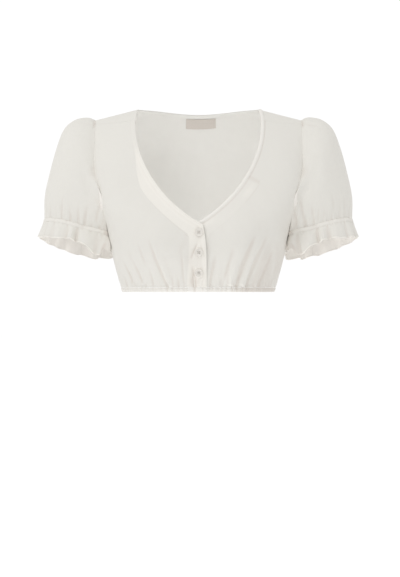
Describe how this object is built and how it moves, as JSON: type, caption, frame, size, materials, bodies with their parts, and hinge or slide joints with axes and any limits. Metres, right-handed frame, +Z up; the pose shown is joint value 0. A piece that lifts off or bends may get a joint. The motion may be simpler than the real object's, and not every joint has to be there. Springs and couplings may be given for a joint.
{
  "type": "dirndl blouse",
  "caption": "Cropped white dirndl blouse, filled out as worn: deep heart-shaped neckline, buttoned overlapped front gathered into a hem casing, puff sleeves ending in a band and frill.",
  "frame": {"origin": "on the centre plane, midway between the middles of the two shoulder lines", "axes": "+Z up, -Y the blouse's front, +X the blouse's left"},
  "size_m": [0.5754, 0.2313, 0.3289],
  "materials": {
    "white_cloth": "matte white cotton batiste, soft, slightly translucent",
    "facing_cloth": "matte white cotton in two layers, smoother and lighter",
    "band_cloth": "matte white cotton turned over on itself, topstitched",
    "label_cloth": "bare woven label, dull cream satin",
    "button": "ivory white, satin, moulded"
  },
  "bodies": {
    "root": {"back": "white_cloth", "front_right": "white_cloth", "front_left": "white_cloth", "facing_right": "facing_cloth", "facing_left": "facing_cloth", "neck_binding_right": "band_cloth", "neck_binding_left": "band_cloth", "neck_binding_back": "band_cloth", "label": "label_cloth", "placket_hem": "band_cloth", "hem_casing_right": "band_cloth", "hem_casing_left": "band_cloth", "hem_casing_back": "band_cloth", "sleeve_right": "white_cloth", "cuff_band_right": "band_cloth", "frill_right": "white_cloth", "sleeve_left": "white_cloth", "cuff_band_left": "band_cloth", "frill_left": "white_cloth", "button_1": "button", "button_2": "button", "button_3": "button"}
  },
  "joints": []
}
